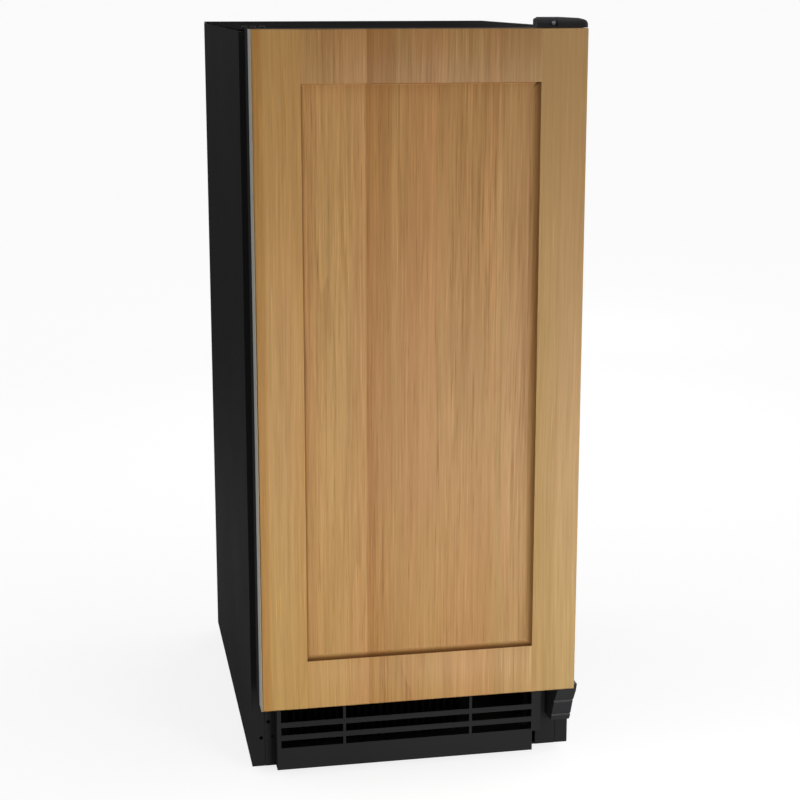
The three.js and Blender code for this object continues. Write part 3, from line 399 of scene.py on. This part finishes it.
def dress_cad_nodes():
    """Gives each CAD node the material of its slot, and a few nodes a finish of their own; the top sheet
    gets a darker copy of the powder coat, painted shade.
    """
    for part in frame["record"]["subparts"]:
        slots = NODES[part["node"]].material_slots
        slots[0].material = MATERIALS[part["material_slot"]]
    special = {"upper_hinge_cover": COVER_PLASTIC, "lower_hinge_cover": SHOE_PLASTIC, "top_panel": TOP_COAT_PAINTED_SHADE}
    special.update({f"hinge_hole_plug_{number}": COVER_PLASTIC for number in (1, 2, 3)})
    special.update({"leveling_leg_" + corner: BLACK_OXIDE for corner in CORNERS})
    for node, material in special.items():
        NODES[node].material_slots[0].material = material


# ---------------------------------------------------------------- edges of the CAD nodes


WELD_DISTANCE = 1e-6


def cleaning_group():
    """A modifier that welds the split corners and shades smooth, so that bevels can follow."""
    group = bpy.data.node_groups.new("clean_mesh", "GeometryNodeTree")
    group.interface.new_socket("Geometry", in_out="INPUT", socket_type="NodeSocketGeometry")
    group.interface.new_socket("Geometry", in_out="OUTPUT", socket_type="NodeSocketGeometry")
    start = group.nodes.new("NodeGroupInput")
    end = group.nodes.new("NodeGroupOutput")
    strip = group.nodes.new("GeometryNodeRemoveAttribute")
    strip.inputs["Name"].default_value = "custom_normal"
    weld = group.nodes.new("GeometryNodeMergeByDistance")
    weld.inputs["Distance"].default_value = WELD_DISTANCE
    smooth = group.nodes.new("GeometryNodeSetShadeSmooth")
    chain = [start, strip, weld, smooth, end]
    for before, after in zip(chain, chain[1:]):
        group.links.new(before.outputs[0], after.inputs[0])
    return group


CLEAN = cleaning_group()
BEVEL_ANGLE = math.radians(30)
SHARP_ANGLE = math.radians(40)


def soften(obj, width):
    """Rounds an object's edges by modifiers, and leaves its mesh alone."""
    clean = obj.modifiers.new("clean", "NODES")
    clean.node_group = CLEAN
    flatten = obj.modifiers.new("flatten", "DECIMATE")
    flatten.decimate_type = "DISSOLVE"
    flatten.angle_limit = math.radians(0.5)
    if width > 0:
        bevel = obj.modifiers.new("bevel", "BEVEL")
        bevel.width = width
        bevel.segments = 2
        bevel.limit_method = "ANGLE"
        bevel.angle_limit = BEVEL_ANGLE
        bevel.use_clamp_overlap = True
    normals = obj.modifiers.new("normals", "WEIGHTED_NORMAL")
    normals.keep_sharp = False


# how far each node's edges are rounded, in mm; a node that isn't here gets DEFAULT_EDGE
EDGE_WIDTHS = {
    "left_side_panel": 0.9,
    "right_side_panel": 0.9,
    "top_panel": 0.7,
    "back_panel": 0.4,
    "rear_service_cover": 0.4,
    "base_pan": 0.4,
    "toe_grille": 0.5,
    "upper_hinge_cover": 0.3,
    "lower_hinge_cover": 0.5,
    "door_pan": 0.5,
    "overlay_panel": 0.0,
    "door_edge_trim": 0.2,
    "control_housing": 1.5,
    "bin_liner": 0.8,
    "door_inner_liner": 0.9,
    "ice_scoop": 0.4,
    "scoop_holder": 0.3,
    "hinge_hole_plug_1": 0.6,
    "hinge_hole_plug_2": 0.6,
    "hinge_hole_plug_3": 0.6,
    "cutter_grid": 0.2,
    "condenser_coil": 0.0,
    "evaporator_coil": 0.0,
    "suction_line": 0.0,
    "discharge_line": 0.0,
    "water_supply_tube": 0.0,
    "drain_tube": 0.0,
    "foam_insulation": 0.0,
    "door_foam": 0.0,
}
DEFAULT_EDGE = 0.4


def soften_cad_nodes():
    for name, obj in NODES.items():
        if name not in FRAME_MEMBERS:
            soften(obj, EDGE_WIDTHS.get(name, DEFAULT_EDGE) * MM)


# ---------------------------------------------------------------- overlay door


def mesh_object(name, build, material):
    """An object at the origin whose mesh is made by build(bm) in the frame's own coordinates."""
    mesh = bpy.data.meshes.new(name)
    bm = bmesh.new()
    build(bm)
    bmesh.ops.recalc_face_normals(bm, faces=bm.faces)
    bm.to_mesh(mesh)
    bm.free()
    mesh.materials.append(material)
    obj = bpy.data.objects.new(name, mesh)
    SCENE.collection.objects.link(obj)
    return obj


def shade_round(obj):
    """Smooth shading that keeps the edges sharper than SHARP_ANGLE."""
    obj.data.shade_smooth()
    obj.data.set_sharp_from_angle(angle=SHARP_ANGLE)


def bridge(bm, rings):
    """Joins closed rings of vertices one after the other, and caps both ends."""
    for before, after in zip(rings, rings[1:]):
        for i in range(len(before)):
            j = (i + 1) % len(before)
            bm.faces.new((before[i], before[j], after[j], after[i]))
    bm.faces.new(rings[0])
    bm.faces.new(rings[-1][::-1])


def add_box(bm, low, high):
    """A closed box between two corners."""
    corners = {}
    for ix in (0, 1):
        for iy in (0, 1):
            for iz in (0, 1):
                place = [(low, high)[i][axis] for axis, i in enumerate((ix, iy, iz))]
                corners[ix, iy, iz] = bm.verts.new(place)
    for axis in range(3):
        for side in (0, 1):
            ring = []
            for a, b in ((0, 0), (1, 0), (1, 1), (0, 1)):
                key = [a, b]
                key.insert(axis, side)
                ring.append(corners[tuple(key)])
            bm.faces.new(ring)


WOOD_EASE = 0.9 * MM


def frame_member(name, node, rounded):
    """One wooden member of the overlay's frame. rounded(edge_middle) picks the edges that are eased."""
    low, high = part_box(node)

    def build(bm):
        add_box(bm, low, high)
        chosen = []
        for edge in bm.edges:
            middle = (edge.verts[0].co + edge.verts[1].co) / 2
            if rounded(middle):
                chosen.append(edge)
        bmesh.ops.bevel(bm, geom=chosen, offset=WOOD_EASE, segments=3, profile=0.5, affect="EDGES")

    obj = mesh_object(name, build, RAIL_WOOD if "rail" in node else MATERIALS["oak_frame"])
    obj.data.shade_smooth()
    obj.modifiers.new("normals", "WEIGHTED_NORMAL")
    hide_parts(node)
    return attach(obj, "door")


COVE_STEPS = 16
COVE_LIP = 0.3 * MM


def cove(name, corner_a, corner_b, inward, reach, depth, front_y, painted_shade):
    """A cove moulding between two inner corners of the frame, mitred at both ends.

    It starts square at the frame's face and runs out flat on the panel. Shade is painted into its corner,
    where the
    recess is shaded: the last argument gives how dark it is there and how fast it thins out, in metres.
    """
    strength, fade = painted_shade
    along = (corner_b - corner_a).normalized()
    profile = [(0.0, depth)]
    for i in range(COVE_STEPS + 1):
        turn = i / COVE_STEPS * math.pi / 2
        profile.append((reach * (1 - math.cos(turn)), COVE_LIP + (depth - COVE_LIP) * math.sin(turn)))

    def build(bm):
        shade = bm.verts.layers.float.new("painted_shade")
        rings = []
        for corner, sign in ((corner_a, 1), (corner_b, -1)):
            ring = []
            for out, down in profile:
                place = corner + inward * out + along * (sign * out)
                vert = bm.verts.new((place.x, front_y + down, place.z))
                # painted shade, darkest in the corner and thinning out onto the panel
                vert[shade] = strength * math.exp(-((out / fade) ** 2))
                ring.append(vert)
            rings.append(ring)
        bridge(bm, rings)

    obj = mesh_object(name, build, PAINTED_SHADE_WOOD)
    shade_round(obj)
    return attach(obj, "door")


# each cove: the inner corners it joins, which way it runs in, its reach in mm, the strength of its painted
# shade and
# # how fast that fades, in mm
COVES = {
    "cove_bottom": (0, 1, Vector((0, 0, 1)), 5.5, 0.85, 2.2),
    "cove_right": (1, 2, Vector((-1, 0, 0)), 9.0, 0.42, 5.0),
    "cove_top": (2, 3, Vector((0, 0, -1)), 2.2, 0.30, 1.0),
    "cove_left": (3, 0, Vector((1, 0, 0)), 4.0, 0.80, 3.0),
}


def build_overlay():
    """Stiles and rails with eased outer edges, the coves round the set-back panel, and the trim's nose."""
    lo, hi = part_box("overlay_panel")
    face_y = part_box("overlay_rail_top")[0].y
    near = 0.01 * MM

    def outer(middle):
        on_side = any(abs(middle.x - side) < near for side in DOOR_X)
        on_end = any(abs(middle.z - end) < near for end in DOOR_Z)
        on_face = abs(middle.y - face_y) < near
        return (on_side and on_face) or (on_end and on_face) or (on_side and on_end)

    for node in FRAME_MEMBERS:
        frame_member(node.replace("overlay", "wood"), node, outer)

    depth = lo.y - face_y
    corners = [Vector((x, 0, z)) for x, z in ((lo.x, lo.z), (hi.x, lo.z), (hi.x, hi.z), (lo.x, hi.z))]
    for name, (a, b, inward, reach, strength, fade) in COVES.items():
        cove(name, corners[a], corners[b], inward, reach * MM, depth, face_y, (strength, fade * MM))
    trim_nose()


NOSE_SETBACK = 0.6 * MM
NOSE_STEPS = 8


def trim_nose():
    """The rounded nose of the edge trim, from its outer face over to the stile's eased edge."""
    trim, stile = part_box("door_edge_trim"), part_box("overlay_stile_left")
    across = stile[0].x - trim[0].x
    forward = trim[0].y - stile[0].y - NOSE_SETBACK
    profile = [(stile[0].x, trim[0].y)]
    for i in range(NOSE_STEPS + 1):
        turn = i / NOSE_STEPS * math.pi / 2
        profile.append((stile[0].x - across * math.cos(turn), trim[0].y - forward * math.sin(turn)))

    def build(bm):
        bridge(bm, [[bm.verts.new((x, y, z)) for x, y in profile] for z in (trim[0].z, trim[1].z)])

    obj = mesh_object("trim_nose", build, NOSE_SATIN)
    shade_round(obj)
    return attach(obj, "door")


# ---------------------------------------------------------------- small fittings

# the screw head's radii and heights from its socket out to its rim, in mm
SCREW_HEAD = ((0.0, 0.3), (1.1, 0.3), (1.25, 1.0), (2.3, 0.9), (3.2, 0.45), (3.4, 0.0))
SCREW_SEGMENTS = 24


def screw(name, place, axis):
    """A pan-head screw with a socket, standing on place along axis."""
    seat = Matrix.Translation(place) @ Vector(axis).to_track_quat("Z", "Y").to_matrix().to_4x4()

    def build(bm):
        middle = bm.verts.new(seat @ Vector((0, 0, SCREW_HEAD[0][1] * MM)))
        rings = []
        for radius, height in SCREW_HEAD[1:]:
            ring = []
            for i in range(SCREW_SEGMENTS):
                turn = i / SCREW_SEGMENTS * math.tau
                spot = Vector((radius * math.cos(turn), radius * math.sin(turn), height)) * MM
                ring.append(bm.verts.new(seat @ spot))
            rings.append(ring)
        for i in range(SCREW_SEGMENTS):
            j = (i + 1) % SCREW_SEGMENTS
            bm.faces.new((middle, rings[0][i], rings[0][j]))
            for inner, outer in zip(rings, rings[1:]):
                bm.faces.new((inner[i], outer[i], outer[j], inner[j]))
        bm.faces.new(rings[-1][::-1])

    obj = mesh_object(name, build, MATERIALS["zinc_steel"])
    shade_round(obj)
    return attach(obj, "cabinet")


THREAD_ROOT = 4.95 * MM
THREAD_CREST = 5.38 * MM
THREAD_PITCH = 1.75 * MM
THREAD_FLANK = 0.42
THREAD_STEPS = 18
THREAD_ABOVE_FOOT = 10.5 * MM
THREAD_BELOW_TOP = 1.5 * MM


def leg_thread(corner):
    """The rolled thread on a levelling leg's stem, faded out at both ends."""
    low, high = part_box("leveling_leg_" + corner)
    middle = (low + high) / 2
    start, end = low.z + THREAD_ABOVE_FOOT, high.z - THREAD_BELOW_TOP
    count = int((end - start) / THREAD_PITCH * THREAD_STEPS)

    def build(bm):
        rings = []
        for i in range(count + 1):
            turn = i / THREAD_STEPS * math.tau
            rise = start + i / THREAD_STEPS * THREAD_PITCH
            ease = min(1.0, (i + 2) / THREAD_STEPS, (count - i + 2) / THREAD_STEPS)
            crest = THREAD_ROOT + (THREAD_CREST - THREAD_ROOT) * ease
            ring = []
            for radius, drop in ((THREAD_ROOT, -THREAD_FLANK), (crest, 0.0), (THREAD_ROOT, THREAD_FLANK)):
                x, y = middle.x + radius * math.cos(turn), middle.y + radius * math.sin(turn)
                ring.append(bm.verts.new((x, y, rise + drop * THREAD_PITCH)))
            rings.append(ring)
        bridge(bm, rings)

    obj = mesh_object("thread_" + corner, build, BLACK_OXIDE)
    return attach(obj, "leg_" + corner)


SCREW_INSET = 6.5 * MM
BACK_LOWEST_SCREW = 18 * MM
COVER_LOWEST_SCREW = 12 * MM
BRACKET_PLATE = 3.2 * MM


def build_fittings():
    """Screws of the back sheets and of the upper hinge bracket, and the threads of the legs."""
    back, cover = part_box("back_panel"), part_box("rear_service_cover")
    left, right = back[0].x + SCREW_INSET, back[1].x - SCREW_INSET
    rear = back[1].y
    heights = [back[0].z + BACK_LOWEST_SCREW, (back[0].z + back[1].z) / 2, back[1].z - SCREW_INSET]
    spots = [(x, z) for z in heights for x in (left, right)] + [(0.0, back[1].z - SCREW_INSET)]
    for number, (x, z) in enumerate(spots, 1):
        screw(f"back_screw_{number}", Vector((x, rear, z)), (0, 1, 0))
    top, bottom = cover[1].z - SCREW_INSET, cover[0].z + COVER_LOWEST_SCREW
    spots = [(x, z) for z in (top, bottom) for x in (left, 0.0, right)]
    for number, (x, z) in enumerate(spots, 1):
        screw(f"cover_screw_{number}", Vector((x, rear, z)), (0, 1, 0))
    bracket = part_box("upper_hinge_bracket")
    plate_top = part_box("top_panel")[1].z + BRACKET_PLATE
    screw_y = (bracket[1].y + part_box("upper_hinge_cover")[1].y) / 2
    screw("bracket_screw", Vector(((bracket[0].x + bracket[1].x) / 2, screw_y, plate_top)), (0, 0, 1))
    for corner in CORNERS:
        leg_thread(corner)


# ---------------------------------------------------------------- stage, lights and camera


FLOOR_HALF_SIZE = 60.0


def build_stage():
    """A wide pale floor that looks evenly lit, like a seamless studio sweep."""
    g = Graph("pale_floor")
    mottle = g.noise(g.coords, scale=40.0, detail=3.0)
    radius = g.node("ShaderNodeVectorMath", {0: g.coords}, operation="LENGTH").outputs["Value"]
    far = g.span(radius, 0.7, 2.2, smooth=True)
    colour = g.mix(far, g.mix(mottle, grey(0.42), grey(0.45)), grey(0.03))
    lift = g.span(far, 0.0, 1.0, 0.79, 0.95)
    lift = g.math("MULTIPLY", g.node("ShaderNodeLightPath").outputs["Is Camera Ray"], lift)
    g.set(Base_Color=colour, Roughness=0.85, Specular_IOR_Level=0.0)
    g.set(Emission_Color=WHITE, Emission_Strength=lift)

    def build(bm):
        corners = ((-1, -1), (1, -1), (1, 1), (-1, 1))
        bm.faces.new([bm.verts.new((x * FLOOR_HALF_SIZE, y * FLOOR_HALF_SIZE, 0.0)) for x, y in corners])

    floor = mesh_object("studio_floor", build, g.material)


SEEN_WHITE = 0.96


def build_world():
    """White to the camera; for lighting, soft, and brighter at the two sides than in front and behind."""
    world = bpy.data.worlds.new("studio")
    SCENE.world = world
    world.use_nodes = True
    tree = world.node_tree
    background = tree.nodes["Background"]
    direction = tree.nodes.new("ShaderNodeTexCoord")
    split = tree.nodes.new("ShaderNodeSeparateXYZ")
    tree.links.new(direction.outputs["Generated"], split.inputs[0])

    def blend(value, low, high, to_low, to_high):
        made = tree.nodes.new("ShaderNodeMapRange")
        made.interpolation_type = "SMOOTHSTEP"
        for key, number in zip(("From Min", "From Max", "To Min", "To Max"), (low, high, to_low, to_high)):
            made.inputs[key].default_value = number
        tree.links.new(value, made.inputs["Value"])
        return made.outputs["Result"]

    front = blend(split.outputs["Y"], -0.3, 0.5, 0.24, 0.16)
    sideways = tree.nodes.new("ShaderNodeMath")
    sideways.operation = "ABSOLUTE"
    tree.links.new(split.outputs["X"], sideways.inputs[0])
    sides = blend(sideways.outputs[0], 0.25, 0.85, 0.0, 0.62)
    total = tree.nodes.new("ShaderNodeMath")
    tree.links.new(front, total.inputs[0])
    tree.links.new(sides, total.inputs[1])
    seen = tree.nodes.new("ShaderNodeLightPath")
    choose = tree.nodes.new("ShaderNodeMix")
    tree.links.new(seen.outputs["Is Camera Ray"], choose.inputs["Factor"])
    tree.links.new(total.outputs[0], choose.inputs[FLOAT_A])
    choose.inputs[FLOAT_B].default_value = SEEN_WHITE
    tree.links.new(choose.outputs[FLOAT_RESULT], background.inputs["Strength"])
    background.inputs["Color"].default_value = WHITE


def add_light(name, data, place, power):
    data.energy = power
    light = bpy.data.objects.new(name, data)
    light.location = place
    light.visible_camera = False
    SCENE.collection.objects.link(light)
    return light


def round_light(name, place, radius, power):
    data = bpy.data.lights.new(name, "POINT")
    data.shadow_soft_size = radius
    add_light(name, data, place, power)


def area_light(name, place, aim, width, height, power):
    data = bpy.data.lights.new(name, "AREA")
    data.shape = "RECTANGLE"
    data.size = width
    data.size_y = height
    light = add_light(name, data, place, power)
    light.rotation_euler = (Vector(aim) - Vector(place)).to_track_quat("-Z", "Y").to_euler()


def build_lights():
    """A low lamp in front, so that the wood brightens downwards, a weak high one, and a fill behind."""
    aim = ((CAD_LO.x + CAD_HI.x) / 2, CAD_LO.y, 0.4)
    round_light("low_front", (0.25, -1.05, 0.23), radius=0.22, power=17.4)
    area_light("high_front", (-0.7, -2.6, 1.5), aim, width=1.6, height=1.2, power=1.0)
    round_light("rear_fill", (0.9, 2.3, 0.6), radius=0.4, power=28.0)


CAMERA_PLACE = (-0.367, -2.076, 0.896)
CAMERA_YAW = math.radians(10.66)
CAMERA_PITCH = math.radians(12.08)


def build_camera():
    """Stands in front of the door, left of it and a little above it, with a longish lens."""
    data = bpy.data.cameras.new("camera")
    data.lens = 77.8
    data.sensor_width = 36.0
    data.shift_y = -0.05
    data.clip_end = 100.0
    camera = bpy.data.objects.new("camera", data)
    camera.location = CAMERA_PLACE
    camera.rotation_euler = (math.pi / 2 - CAMERA_PITCH, 0.0, -CAMERA_YAW)
    SCENE.collection.objects.link(camera)
    SCENE.camera = camera


# ---------------------------------------------------------------- assembly

SCENE.view_settings.view_transform = "Standard"
build_camera()
dress_cad_nodes()
soften_cad_nodes()
build_overlay()
build_fittings()
build_stage()
build_world()
build_lights()

bpy.context.view_layer.update()
